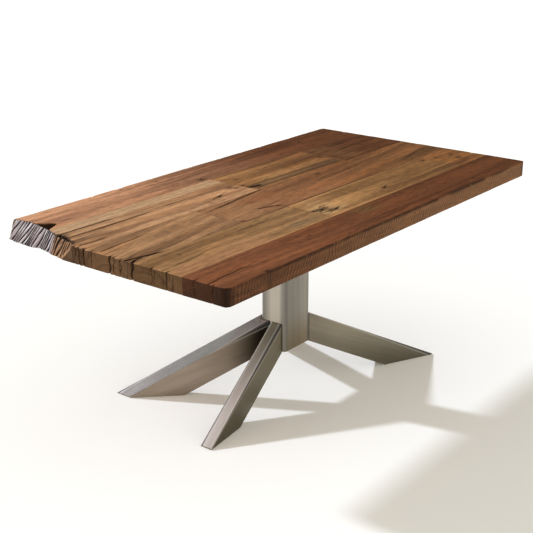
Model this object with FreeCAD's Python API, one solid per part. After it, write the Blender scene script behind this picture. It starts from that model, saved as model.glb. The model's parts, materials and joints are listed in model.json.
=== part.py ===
"""Dining table: a reclaimed plank top on a steel column with four sloping box legs.

Millimetres. The origin is on the floor under the middle of the top, +X runs along the boards,
+Y runs across them towards the back of the table, and +Z is up.
"""
import FreeCAD
import Part
import math
import os

from FreeCAD import Vector

# Top
TABLE_HEIGHT = 760.0
TOP_LENGTH = 1800.0
TOP_WIDTH = 960.0
TOP_THICK = 56.0
BACK_ROW_WIDTH = 180.0
REAR_ROW_WIDTH = 225.0
CENTRE_ROW_WIDTH = 205.0
NEAR_ROW_WIDTH = 187.0
ARRIS_RADIUS = 3.0

# Lengths of the boards at the ends of the three rows that are made of shorter boards
REAR_LEFT_LENGTH = 840.0
REAR_RIGHT_LENGTH = 415.0
CENTRE_LEFT_LENGTH = 500.0
NEAR_LEFT_LENGTH = 735.0
NEAR_RIGHT_LENGTH = 210.0

# Weathered left ends of the two rows at the back
BACK_END_SETBACK = 78.0
REAR_END_SETBACK = 66.0
REAR_END_FRONT_SETBACK = 3.0
WEATHERED_END_LEAN = 43.0

# Loose tongues and dowels between the boards
TONGUE_THICK = 6.0
TONGUE_WIDTH = 30.0
TONGUE_END_MARGIN = 110.0
TONGUE_CLEARANCE = 0.2
DOWEL_DIAMETER = 10.0
DOWEL_LENGTH = 60.0
DOWEL_EDGE_MARGIN = 48.0
DOWEL_CLEARANCE = 0.1

# Steel channels let into the underside
BATTEN_FROM_END = 280.0
BATTEN_WIDTH = 60.0
BATTEN_DEPTH = 20.0
BATTEN_WALL = 4.0
BATTEN_EDGE_MARGIN = 40.0
BATTEN_CLEARANCE = 0.5

# Where the front row's bolts sit, as a share of the way from the channel's end to the row's seam
FRONT_BOLT_SHARE = 0.3374

# Plate on the column's head
PLATE_LENGTH = 640.0
PLATE_WIDTH = 400.0
PLATE_THICK = 8.0
PLATE_CORNER_RADIUS = 20.0
PLATE_BOLT_MARGIN = 30.0
GUSSET_WASHER_GAP = 16.0
GUSSET_DROP = 70.0
GUSSET_THICK = 6.0
GUSSET_TIP = 8.0

# Bolts into threaded inserts
BOLT_DIAMETER = 8.0
BOLT_HOLE_CLEARANCE = 0.5
BOLT_HEAD_DIAMETER = 14.0
BOLT_HEAD_HEIGHT = 4.4
BOLT_REACH = 16.0
KEY_FLATS = 5.0
KEY_DEPTH = 2.6
WASHER_DIAMETER = 18.0
WASHER_THICK = 1.6
INSERT_DIAMETER = 12.0
INSERT_LENGTH = 18.0
INSERT_CLEARANCE = 0.1
THREAD_CLEARANCE = 0.05

# Column
COLUMN_LENGTH = 154.0
COLUMN_WIDTH = 110.0
COLUMN_WALL = 5.0
COLUMN_CORNER_RADIUS = 16.0
COLUMN_FOOT_RISE = 5.0
CAP_THICK = 5.0
CAP_CLEARANCE = 0.3

# Legs: each is a box with upright sides whose top runs level across the table
LEG_WIDTH = 46.0
LEG_WALL = 4.0
LEG_DEPTH = 113.0
LEG_HEAD_HEIGHT = 284.0
LEG_EDGE_RADIUS = 2.5
TOE_LIP = 3.0
FOOT_GAP = 2.0

# Each leg's toe along the table, and its plan angle; where the two legs nearest the front start across the table
LEFT_LEG_TOE_X = 438.0
LEFT_LEG_ANGLE = 46.5
FRONT_LEG_TOE_X = 559.0
FRONT_LEG_ANGLE = -8.0
FRONT_LEG_START = -19.0
RIGHT_LEG_TOE_X = 600.0
RIGHT_LEG_ANGLE = -25.0
RIGHT_LEG_START = -24.0
BACK_LEG_TOE_X = 438.0
BACK_LEG_ANGLE = 46.5
LEG_ROOT_GAP = 5.4

# Levelling feet
FOOT_PLATE_THICK = 5.0
FOOT_PLATE_CLEARANCE = 0.3
CUP_SIDE_GAP = 2.0
CUP_CLEARANCE = 0.1
CUP_WALL = 2.5
THREAD_LENGTH = 11.0
STEM_DIAMETER = 10.0
STEM_STANDOUT = 10.0
BALL_OVERHANG = 1.5
BALL_FIT = 0.05
PAD_FLOOR = 1.2
PAD_LIP = 1.2
PAD_SIDE_CLEARANCE = 0.5
PAD_STOP_GAP = 0.3
SOLE_INSET = 1.0
SOLE_THICK = 3.0
KEY_CLEARANCE = 0.4

# Places worked out from the sizes
FRONT_ROW_WIDTH = TOP_WIDTH - BACK_ROW_WIDTH - REAR_ROW_WIDTH - CENTRE_ROW_WIDTH - NEAR_ROW_WIDTH
UNDERSIDE = TABLE_HEIGHT - TOP_THICK
LEFT_END = -TOP_LENGTH / 2
RIGHT_END = TOP_LENGTH / 2
FRONT_EDGE = -TOP_WIDTH / 2
BACK_EDGE = TOP_WIDTH / 2
NEAR_ROW_START = FRONT_EDGE + FRONT_ROW_WIDTH
CENTRE_ROW_START = NEAR_ROW_START + NEAR_ROW_WIDTH
REAR_ROW_START = CENTRE_ROW_START + CENTRE_ROW_WIDTH
BACK_ROW_START = REAR_ROW_START + REAR_ROW_WIDTH
SEAMS = (NEAR_ROW_START, CENTRE_ROW_START, REAR_ROW_START, BACK_ROW_START)
TONGUE_LEVEL = TABLE_HEIGHT - TOP_THICK / 2
REAR_JOINTS = (LEFT_END + REAR_LEFT_LENGTH, RIGHT_END - REAR_RIGHT_LENGTH)
CENTRE_JOINTS = (LEFT_END + CENTRE_LEFT_LENGTH,)
NEAR_JOINTS = (LEFT_END + NEAR_LEFT_LENGTH, RIGHT_END - NEAR_RIGHT_LENGTH)
COLUMN_FACE = COLUMN_LENGTH / 2
COLUMN_FOOT = LEG_HEAD_HEIGHT - LEG_DEPTH + COLUMN_FOOT_RISE
COLUMN_HEAD = UNDERSIDE - PLATE_THICK
BOLT_HOLE = BOLT_DIAMETER + 2 * BOLT_HOLE_CLEARANCE
BATTEN_PLACES = {"batten_left": LEFT_END + BATTEN_FROM_END, "batten_right": RIGHT_END - BATTEN_FROM_END}
BATTEN_FRONT_END = FRONT_EDGE + BATTEN_EDGE_MARGIN
ROW_BOLTS = (
    BATTEN_FRONT_END + (NEAR_ROW_START - BATTEN_FRONT_END) * FRONT_BOLT_SHARE,
    NEAR_ROW_START + NEAR_ROW_WIDTH / 2,
    CENTRE_ROW_START + CENTRE_ROW_WIDTH / 2,
    REAR_ROW_START + REAR_ROW_WIDTH / 2,
    BACK_ROW_START + BACK_ROW_WIDTH / 2,
)
PLATE_BOLT_X = PLATE_LENGTH / 2 - PLATE_BOLT_MARGIN
PLATE_BOLT_Y = PLATE_WIDTH / 2 - PLATE_BOLT_MARGIN
GUSSET_REACH = PLATE_BOLT_Y - WASHER_DIAMETER / 2 - GUSSET_WASHER_GAP - COLUMN_WIDTH / 2
PLATE_BOLT_PLACES = [
    (x, y)
    for x in (-PLATE_BOLT_X, 0, PLATE_BOLT_X)
    for y in (-PLATE_BOLT_Y, 0, PLATE_BOLT_Y)
    if (x, y) != (0, 0)
]
BATTEN_BOLT_PLACES = [(x, y) for x in BATTEN_PLACES.values() for y in ROW_BOLTS]
BALL_DIAMETER = STEM_DIAMETER + 2 * BALL_OVERHANG
BALL_CENTRE = SOLE_THICK + PAD_FLOOR + BALL_DIAMETER / 2
BALL_NECK = BALL_CENTRE + math.sqrt(BALL_DIAMETER ** 2 - STEM_DIAMETER ** 2) / 2
PAD_TOP = BALL_NECK + PAD_LIP
CUP_CEILING = PAD_TOP + PAD_STOP_GAP
CUP_TOP = CUP_CEILING + THREAD_LENGTH
STEM_TOP = CUP_TOP + STEM_STANDOUT
CUP_DIAMETER = LEG_WIDTH - 2 * (LEG_WALL + CUP_SIDE_GAP)
CUP_RECESS_DIAMETER = CUP_DIAMETER - 2 * CUP_WALL
PAD_DIAMETER = CUP_RECESS_DIAMETER - 2 * PAD_SIDE_CLEARANCE
SOLE_DIAMETER = PAD_DIAMETER - 2 * SOLE_INSET
KEY_HOLE_DIAMETER = 2 * (KEY_FLATS / math.sqrt(3) + KEY_CLEARANCE)

UP = Vector(0, 0, 1)
ALONG = Vector(1, 0, 0)


def box(x0, x1, y0, y1, z0, z1):
    """Box between two corners."""
    return Part.makeBox(x1 - x0, y1 - y0, z1 - z0, Vector(x0, y0, z0))


def rod(diameter, length, base, axis=UP):
    """Round bar that starts at base and runs along axis."""
    return Part.makeCylinder(diameter / 2, length, base, axis)


def hexagon_bar(flats, length, base):
    """Upright six-sided bar, measured across its flats."""
    reach = flats / math.sqrt(3)
    corners = [
        base + Vector(reach * math.cos(math.radians(60 * i)), reach * math.sin(math.radians(60 * i)), 0)
        for i in range(7)
    ]
    return Part.Face(Part.makePolygon(corners)).extrude(UP * length)


def rounded_bar(length, width, radius, z0, z1):
    """Upright bar of rectangular section with rounded corners, centred on the origin."""
    bar = box(-length / 2, length / 2, -width / 2, width / 2, z0, z1)
    return bar.makeFillet(radius, [edge for edge in bar.Edges if edge.BoundBox.ZLength > (z1 - z0) / 2])


def group(solids):
    """Several separate solids kept together under one name."""
    return Part.makeCompound(solids)


def rows():
    """Front and back limits of each row of boards, with the joints along it."""
    return {
        "front": (FRONT_EDGE, NEAR_ROW_START, ()),
        "near": (NEAR_ROW_START, CENTRE_ROW_START, NEAR_JOINTS),
        "centre": (CENTRE_ROW_START, REAR_ROW_START, CENTRE_JOINTS),
        "rear": (REAR_ROW_START, BACK_ROW_START, REAR_JOINTS),
        "back": (BACK_ROW_START, BACK_EDGE, ()),
    }


def board_names(row, count):
    """One name for each length of board in a row, from left to right."""
    places = {1: [""], 2: ["_left", "_right"], 3: ["_left", "_middle", "_right"]}
    return ["plank_" + row + place for place in places[count]]


def weathered_end_cutter(setback_front, setback_back, y0, y1):
    """Wedge that takes a sloping, skewed end off a board, with its top edge further back than its foot."""
    reach = TOP_LENGTH / 4
    top = [
        Vector(LEFT_END + setback_front, y0, TABLE_HEIGHT),
        Vector(LEFT_END + setback_back, y1, TABLE_HEIGHT),
        Vector(LEFT_END - reach, y1, TABLE_HEIGHT),
        Vector(LEFT_END - reach, y0, TABLE_HEIGHT),
    ]
    face = Part.Face(Part.makePolygon(top + top[:1]))
    return face.extrude(Vector(-WEATHERED_END_LEAN, 0, -TOP_THICK))


def soften_outer_edges(board):
    """Rounds the arrises of a board that lie on the outside of the top."""
    def outside(edge):
        bounds = edge.BoundBox
        at_front = abs(bounds.YMin - FRONT_EDGE) < 1e-6 and bounds.YLength < 1e-6
        at_back = abs(bounds.YMax - BACK_EDGE) < 1e-6 and bounds.YLength < 1e-6
        at_left = abs(bounds.XMin - LEFT_END) < 1e-6 and bounds.XLength < 1e-6
        at_right = abs(bounds.XMax - RIGHT_END) < 1e-6 and bounds.XLength < 1e-6
        along_y = bounds.YLength > 1e-6
        along_x = bounds.XLength > 1e-6
        level = bounds.ZLength < 1e-6
        long_edge = level and along_x and (at_front or at_back)
        end_edge = level and along_y and (at_left or at_right)
        corner = not level and (at_left or at_right) and (at_front or at_back)
        return long_edge or end_edge or corner
    edges = [edge for edge in board.Edges if outside(edge)]
    return board.makeFillet(ARRIS_RADIUS, edges) if edges else board


def tongue(seam, clearance=0.0):
    """Loose tongue across one seam; with a clearance it is the groove that the boards have for it."""
    half_width = TONGUE_WIDTH / 2 + clearance
    half_thick = TONGUE_THICK / 2 + clearance
    start = LEFT_END + TONGUE_END_MARGIN - clearance
    end = RIGHT_END - TONGUE_END_MARGIN + clearance
    return box(start, end, seam - half_width, seam + half_width, TONGUE_LEVEL - half_thick, TONGUE_LEVEL + half_thick)


def dowel_places():
    """Joint position, and the place across the table, of every dowel."""
    places = []
    for y0, y1, joints in rows().values():
        for joint in joints:
            places += [(joint, y0 + DOWEL_EDGE_MARGIN), (joint, y1 - DOWEL_EDGE_MARGIN)]
    return places


def dowels(clearance=0.0):
    """Dowels across the end-to-end joints; with a clearance they are their holes."""
    diameter = DOWEL_DIAMETER + 2 * clearance
    length = DOWEL_LENGTH + 2 * clearance
    return [rod(diameter, length, Vector(x - length / 2, y, TONGUE_LEVEL), ALONG) for x, y in dowel_places()]


def channel(x, clearance=0.0):
    """Channel with its web flush with the underside and its flanges up; with a clearance it is the recess for it."""
    x0 = x - BATTEN_WIDTH / 2
    x1 = x + BATTEN_WIDTH / 2
    y0 = BATTEN_FRONT_END - clearance
    y1 = BACK_EDGE - BATTEN_EDGE_MARGIN + clearance
    top = UNDERSIDE + BATTEN_DEPTH + clearance
    web = box(x0 - clearance, x1 + clearance, y0, y1, UNDERSIDE, UNDERSIDE + BATTEN_WALL)
    left = box(x0 - clearance, x0 + BATTEN_WALL + clearance, y0, y1, UNDERSIDE, top)
    right = box(x1 - BATTEN_WALL - clearance, x1 + clearance, y0, y1, UNDERSIDE, top)
    return web.fuse([left, right]).removeSplitter()


def batten(x):
    """Channel with one hole for each row of boards."""
    holes = [rod(BOLT_HOLE, BATTEN_WALL, Vector(x, y, UNDERSIDE)) for y in ROW_BOLTS]
    return channel(x).cut(holes)


def bolts(places, seat):
    """Button-head bolts that reach up from the face they clamp, through it and into their inserts."""
    made = []
    for x, y in places:
        under_head = seat - WASHER_THICK
        foot = Vector(x, y, under_head - BOLT_HEAD_HEIGHT)
        head = rod(BOLT_HEAD_DIAMETER, BOLT_HEAD_HEIGHT, foot)
        shank = rod(BOLT_DIAMETER, UNDERSIDE + BOLT_REACH - under_head, Vector(x, y, under_head))
        made.append(head.fuse(shank).removeSplitter().cut(hexagon_bar(KEY_FLATS, KEY_DEPTH, foot)))
    return group(made)


def washers(places, seat):
    """Flat washers under the heads of the bolts."""
    made = []
    for x, y in places:
        base = Vector(x, y, seat - WASHER_THICK)
        made.append(rod(WASHER_DIAMETER, WASHER_THICK, base).cut(rod(BOLT_HOLE, WASHER_THICK, base)))
    return group(made)


def insert_base(x, y):
    """Where an insert starts in the wood: above a channel's web, or at the underside itself."""
    return Vector(x, y, UNDERSIDE + (BATTEN_WALL if (x, y) in BATTEN_BOLT_PLACES else 0))


def inserts(places):
    """Threaded inserts in the underside of the boards."""
    made = []
    for x, y in places:
        base = insert_base(x, y)
        thread = rod(BOLT_DIAMETER + 2 * THREAD_CLEARANCE, INSERT_LENGTH, base)
        made.append(rod(INSERT_DIAMETER, INSERT_LENGTH, base).cut(thread))
    return group(made)


def planks():
    """Every board of the top, with its grooves, dowel holes, channel recesses and insert holes."""
    cutters = [tongue(seam, TONGUE_CLEARANCE) for seam in SEAMS]
    cutters += dowels(DOWEL_CLEARANCE)
    cutters += [channel(x, BATTEN_CLEARANCE) for x in BATTEN_PLACES.values()]
    for x, y in PLATE_BOLT_PLACES + BATTEN_BOLT_PLACES:
        cutters.append(rod(INSERT_DIAMETER + 2 * INSERT_CLEARANCE, INSERT_LENGTH, insert_base(x, y)))
    weathered = {
        "plank_back": weathered_end_cutter(BACK_END_SETBACK, BACK_END_SETBACK, BACK_ROW_START, BACK_EDGE),
        "plank_rear_left": weathered_end_cutter(
            REAR_END_FRONT_SETBACK, REAR_END_SETBACK, REAR_ROW_START, BACK_ROW_START
        ),
    }
    made = {}
    for row, (y0, y1, joints) in rows().items():
        ends = [LEFT_END, *joints, RIGHT_END]
        names = board_names(row, len(ends) - 1)
        for name, x0, x1 in zip(names, ends, ends[1:]):
            board = soften_outer_edges(box(x0, x1, y0, y1, UNDERSIDE, TABLE_HEIGHT))
            if name in weathered:
                board = board.cut(weathered[name])
            made[name] = board.cut(cutters)
    return made


def mounting_plate():
    """Plate on the column's head, with a hole for each bolt."""
    plate = rounded_bar(PLATE_LENGTH, PLATE_WIDTH, PLATE_CORNER_RADIUS, COLUMN_HEAD, UNDERSIDE)
    return plate.cut([rod(BOLT_HOLE, PLATE_THICK, Vector(x, y, COLUMN_HEAD)) for x, y in PLATE_BOLT_PLACES])


def gusset(direction, start):
    """Triangular rib between the column's side and the underside of the plate."""
    across = UP.cross(direction)
    root = direction * start - across * (GUSSET_THICK / 2)
    outline = [
        root + UP * COLUMN_HEAD,
        root + direction * GUSSET_REACH + UP * COLUMN_HEAD,
        root + direction * GUSSET_REACH + UP * (COLUMN_HEAD - GUSSET_TIP),
        root + direction * GUSSET_TIP + UP * (COLUMN_HEAD - GUSSET_DROP),
        root + UP * (COLUMN_HEAD - GUSSET_DROP),
    ]
    return Part.Face(Part.makePolygon(outline + outline[:1])).extrude(across * GUSSET_THICK)


def column_tube():
    """Upright tube with rounded corners."""
    outer = rounded_bar(COLUMN_LENGTH, COLUMN_WIDTH, COLUMN_CORNER_RADIUS, COLUMN_FOOT, COLUMN_HEAD)
    return outer.cut(column_bore(0.0, COLUMN_FOOT, COLUMN_HEAD))


def column_bore(clearance, z0, z1):
    """Space inside the column's walls, or with a clearance what fits into it."""
    length = COLUMN_LENGTH - 2 * COLUMN_WALL - 2 * clearance
    width = COLUMN_WIDTH - 2 * COLUMN_WALL - 2 * clearance
    return rounded_bar(length, width, COLUMN_CORNER_RADIUS - COLUMN_WALL, z0, z1)


class Leg:
    """One box leg: side is -1 on the left of the column and +1 on the right."""

    def __init__(self, name, side, toe_x, angle, start=None, beside=None):
        self.name = name
        self.side = side
        self.toe_x = toe_x
        self.sweep = math.tan(math.radians(angle))
        self.stretch = math.hypot(1, self.sweep)
        self.fall = LEG_HEAD_HEIGHT / (toe_x - COLUMN_FACE)
        self.foot_run = LEG_DEPTH / self.fall
        self.start = start if beside is None else beside.back_of_root() + LEG_ROOT_GAP + self.half_width()

    def half_width(self, wall=0.0):
        """Half of the leg's width, or of the space between its walls, measured straight across the table."""
        return (LEG_WIDTH / 2 - wall) * self.stretch

    def back_of_root(self):
        """Place across the table of the leg's rear side where it leaves the column's face."""
        return self.start + self.half_width()

    def axis_y(self, x):
        """Place of the leg's middle across the table, at a distance x from the column's axis."""
        return self.start + self.sweep * (x - COLUMN_FACE)

    def point(self, x, z, shift):
        """Point on the leg, shifted across the table."""
        return Vector(self.side * x, self.axis_y(x) + shift, z)

    def bar(self, wall=0.0):
        """Sloping bar that runs from the column's axis past the toe, drawn in by a wall on every side."""
        half = self.half_width(wall)
        drop = wall * math.hypot(1, self.fall)
        past_toe = self.toe_x + LEG_DEPTH
        corners = []
        for x, depth in ((0, drop), (past_toe, drop), (past_toe, LEG_DEPTH - drop), (0, LEG_DEPTH - drop)):
            corners.append(self.point(x, self.fall * (self.toe_x - x) - depth, -half))
        return Part.Face(Part.makePolygon(corners + corners[:1])).extrude(Vector(0, 2 * half, 0))

    def box_leg(self):
        """Hollow leg, rounded along its long edges, coped to the column, blunt at the toe and open at the floor."""
        outer = self.bar()
        long_edges = [e for e in outer.Edges if e.BoundBox.XLength > self.toe_x and e.BoundBox.ZLength > LEG_DEPTH]
        outer = outer.makeFillet(LEG_EDGE_RADIUS, long_edges)
        reach = self.toe_x + 2 * LEG_DEPTH
        lip = self.toe_x - (FOOT_GAP + TOE_LIP) / self.fall
        below = box(-reach, reach, -reach, reach, -reach, FOOT_GAP)
        ahead = box(lip, reach, -reach, reach, -reach, reach) if self.side > 0 else box(
            -reach, -lip, -reach, reach, -reach, reach
        )
        core = rounded_bar(COLUMN_LENGTH, COLUMN_WIDTH, COLUMN_CORNER_RADIUS, 0, TABLE_HEIGHT)
        return self.outward_piece(outer.cut(self.bar(LEG_WALL)).cut([below, ahead, core]))

    def outward_piece(self, shape):
        """The part of a leg on its own side of the column."""
        return max(shape.Solids, key=lambda solid: self.side * solid.CenterOfMass.x)

    def foot_middle(self, z):
        """Axis of the levelling foot, halfway between heel and toe."""
        x = self.toe_x - FOOT_GAP / self.fall - self.foot_run / 2
        return self.point(x, z, 0)

    def foot_plate(self):
        """Plate between the leg's walls at the floor, bored for the levelling socket."""
        hollow = self.bar(LEG_WALL + FOOT_PLATE_CLEARANCE)
        reach = self.toe_x + LEG_DEPTH
        slab = box(-reach, reach, -reach, reach, FOOT_GAP, FOOT_GAP + FOOT_PLATE_THICK)
        bore = rod(CUP_DIAMETER + 2 * CUP_CLEARANCE, FOOT_PLATE_THICK, self.foot_middle(FOOT_GAP))
        return hollow.common(slab).cut(bore)

    def upright(self, diameter, z0, z1):
        """Round bar on the levelling foot's axis between two heights."""
        return rod(diameter, z1 - z0, self.foot_middle(z0))

    def leveller_cup(self):
        """Threaded socket, recessed from below for the pad."""
        recess = self.upright(CUP_RECESS_DIAMETER, FOOT_GAP, CUP_CEILING)
        thread = self.upright(STEM_DIAMETER + 2 * THREAD_CLEARANCE, FOOT_GAP, CUP_TOP)
        return self.upright(CUP_DIAMETER, FOOT_GAP, CUP_TOP).cut([recess, thread])

    def leveller_stem(self):
        """Screw with a ball at its foot and a key socket in the ball."""
        ball = Part.makeSphere(BALL_DIAMETER / 2, self.foot_middle(BALL_CENTRE))
        shank = self.upright(STEM_DIAMETER, BALL_CENTRE, STEM_TOP)
        key = hexagon_bar(KEY_FLATS, BALL_DIAMETER / 2, self.foot_middle(BALL_CENTRE - BALL_DIAMETER / 2))
        return ball.fuse(shank).removeSplitter().cut(key)

    def leveller_pad(self):
        """Pad that holds the ball and lets it turn, with a hole below for the key."""
        socket = Part.makeSphere(BALL_DIAMETER / 2 + BALL_FIT, self.foot_middle(BALL_CENTRE))
        neck = self.upright(STEM_DIAMETER + 2 * BALL_FIT, BALL_CENTRE, PAD_TOP)
        key_hole = self.upright(KEY_HOLE_DIAMETER, SOLE_THICK, BALL_CENTRE)
        return self.upright(PAD_DIAMETER, SOLE_THICK, PAD_TOP).cut([socket, neck, key_hole])

    def leveller_sole(self):
        """Soft ring between the pad and the floor."""
        return self.upright(SOLE_DIAMETER, 0, SOLE_THICK).cut(self.upright(KEY_HOLE_DIAMETER, 0, SOLE_THICK))

    def pieces(self):
        """Every piece of this leg, by name."""
        return {
            "leg_" + self.name: self.box_leg(),
            "foot_plate_" + self.name: self.foot_plate(),
            "leveller_cup_" + self.name: self.leveller_cup(),
            "leveller_stem_" + self.name: self.leveller_stem(),
            "leveller_pad_" + self.name: self.leveller_pad(),
            "leveller_sole_" + self.name: self.leveller_sole(),
        }


FRONT_LEG = Leg("front", -1, FRONT_LEG_TOE_X, FRONT_LEG_ANGLE, start=FRONT_LEG_START)
RIGHT_LEG = Leg("right", 1, RIGHT_LEG_TOE_X, RIGHT_LEG_ANGLE, start=RIGHT_LEG_START)
LEFT_LEG = Leg("left", -1, LEFT_LEG_TOE_X, LEFT_LEG_ANGLE, beside=FRONT_LEG)
BACK_LEG = Leg("back", 1, BACK_LEG_TOE_X, BACK_LEG_ANGLE, beside=RIGHT_LEG)
LEGS = (LEFT_LEG, FRONT_LEG, RIGHT_LEG, BACK_LEG)


def build():
    """Every piece of the table, by name."""
    pieces = planks()
    for number, seam in enumerate(SEAMS, 1):
        pieces["tongue_%d" % number] = tongue(seam)
    pieces["butt_dowels"] = group(dowels())
    for name, x in BATTEN_PLACES.items():
        pieces[name] = batten(x)
    pieces["batten_bolts"] = bolts(BATTEN_BOLT_PLACES, UNDERSIDE)
    pieces["batten_washers"] = washers(BATTEN_BOLT_PLACES, UNDERSIDE)
    pieces["batten_inserts"] = inserts(BATTEN_BOLT_PLACES)
    pieces["mounting_plate"] = mounting_plate()
    pieces["plate_bolts"] = bolts(PLATE_BOLT_PLACES, COLUMN_HEAD)
    pieces["plate_washers"] = washers(PLATE_BOLT_PLACES, COLUMN_HEAD)
    pieces["plate_inserts"] = inserts(PLATE_BOLT_PLACES)
    pieces["gusset_left"] = gusset(Vector(-1, 0, 0), COLUMN_FACE)
    pieces["gusset_right"] = gusset(Vector(1, 0, 0), COLUMN_FACE)
    pieces["gusset_front"] = gusset(Vector(0, -1, 0), COLUMN_WIDTH / 2)
    pieces["gusset_back"] = gusset(Vector(0, 1, 0), COLUMN_WIDTH / 2)
    pieces["column_tube"] = column_tube()
    pieces["column_bottom_cap"] = column_bore(CAP_CLEARANCE, COLUMN_FOOT, COLUMN_FOOT + CAP_THICK)
    for leg in LEGS:
        pieces.update(leg.pieces())
    return pieces


os.makedirs("parts", exist_ok=True)
for node, shape in build().items():
    assert shape.isValid() and shape.Volume > 0, node
    shape.exportStep("parts/" + node + ".step")
    print("%-22s %3d solids %12.0f mm3" % (node, len(shape.Solids), shape.Volume))
for leg in LEGS:
    print("levelling foot %-5s at x %.2f, y %.2f" % (leg.name, *leg.foot_middle(0)[:2]))
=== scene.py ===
# %% [markdown]
# # A plank table on a steel pedestal
# The table's shapes come from a packed CAD model, in metres, with the floor at z = 0, the boards along X
# and the row of boards with the old, weathered end at the back, towards +Y. This lesson dresses that model:
# it lays real boards over the plain planks, brushes the steel, sets the light and places the camera.
# The frame is loaded first, because every later piece takes its place from it.

# %% Load the packed table
import json
import math

import bmesh
import bpy
import numpy as np
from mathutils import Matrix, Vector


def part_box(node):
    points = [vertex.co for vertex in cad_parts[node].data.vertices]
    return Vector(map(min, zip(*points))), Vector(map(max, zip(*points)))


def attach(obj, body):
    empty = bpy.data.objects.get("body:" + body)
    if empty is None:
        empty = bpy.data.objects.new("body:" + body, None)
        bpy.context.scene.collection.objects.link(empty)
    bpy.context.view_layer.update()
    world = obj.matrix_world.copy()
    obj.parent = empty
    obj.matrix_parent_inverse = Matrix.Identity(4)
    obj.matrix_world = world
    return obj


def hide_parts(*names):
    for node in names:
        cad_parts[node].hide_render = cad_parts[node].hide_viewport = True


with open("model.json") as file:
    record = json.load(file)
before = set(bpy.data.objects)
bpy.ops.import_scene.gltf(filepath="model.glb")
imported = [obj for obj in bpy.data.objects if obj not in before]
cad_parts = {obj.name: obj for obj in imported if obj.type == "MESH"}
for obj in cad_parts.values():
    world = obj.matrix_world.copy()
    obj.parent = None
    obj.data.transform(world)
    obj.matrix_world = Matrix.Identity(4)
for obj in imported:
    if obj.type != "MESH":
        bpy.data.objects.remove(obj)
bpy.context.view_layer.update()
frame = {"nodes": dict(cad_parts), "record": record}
nodes = frame["nodes"]


def put(name, data):
    """Makes an object of a mesh, a lamp or a camera and puts it in the scene."""
    made = bpy.data.objects.new(name, data)
    bpy.context.scene.collection.objects.link(made)
    return made


# %% [markdown]
# ## Sums that make shader nodes
# A procedural finish is mostly arithmetic: distances, masks and mixtures. Wiring Math nodes by hand hides
# that arithmetic, so a small class wraps a socket and lets Python's own operators add the nodes. The
# reflected forms are there so that `1 - mask` works as well as `mask - 1`.

# %% A socket that does sums
def both_ways(operation):
    """An operator that adds a Math node, and its reflected form."""
    return (lambda self, other: self.math(operation, self, other),
            lambda self, other: self.math(operation, other, self))


class Wire:
    """One output socket. Sums with it add Math nodes to its finish."""

    def __init__(self, finish, socket):
        self.finish = finish
        self.socket = socket

    def outlet(self, name):
        """Another output of the same node."""
        return Wire(self.finish, self.socket.node.outputs[name])

    def math(self, operation, *values):
        return self.finish.node("ShaderNodeMath", {"operation": operation}, dict(enumerate(values)))

    __add__, __radd__ = both_ways("ADD")
    __sub__, __rsub__ = both_ways("SUBTRACT")
    __mul__, __rmul__ = both_ways("MULTIPLY")
    __truediv__, __rtruediv__ = both_ways("DIVIDE")
    __pow__, __rpow__ = both_ways("POWER")

    def __abs__(self):
        return self.math("ABSOLUTE", self)

    def sine(self):
        return self.math("SINE", self)

    def fade(self, low, high):
        """0 at low and 1 at high, with a smooth step between."""
        limits = {"Value": self, "From Min": low, "From Max": high}
        return self.finish.node("ShaderNodeMapRange", {"interpolation_type": "SMOOTHSTEP"}, limits)


print("sums that work both ways round:", [name for name in vars(Wire) if name.startswith("__r")])

# %% [markdown]
# ## One method for any node
# A finish is a material under construction. Its `node` method takes a node's type, its settings and the
# values or links of its sockets, which covers every node that the table needs. The few methods below it
# only spell out combinations that come back again and again: places, noise, colour mixtures and the end.

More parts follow.
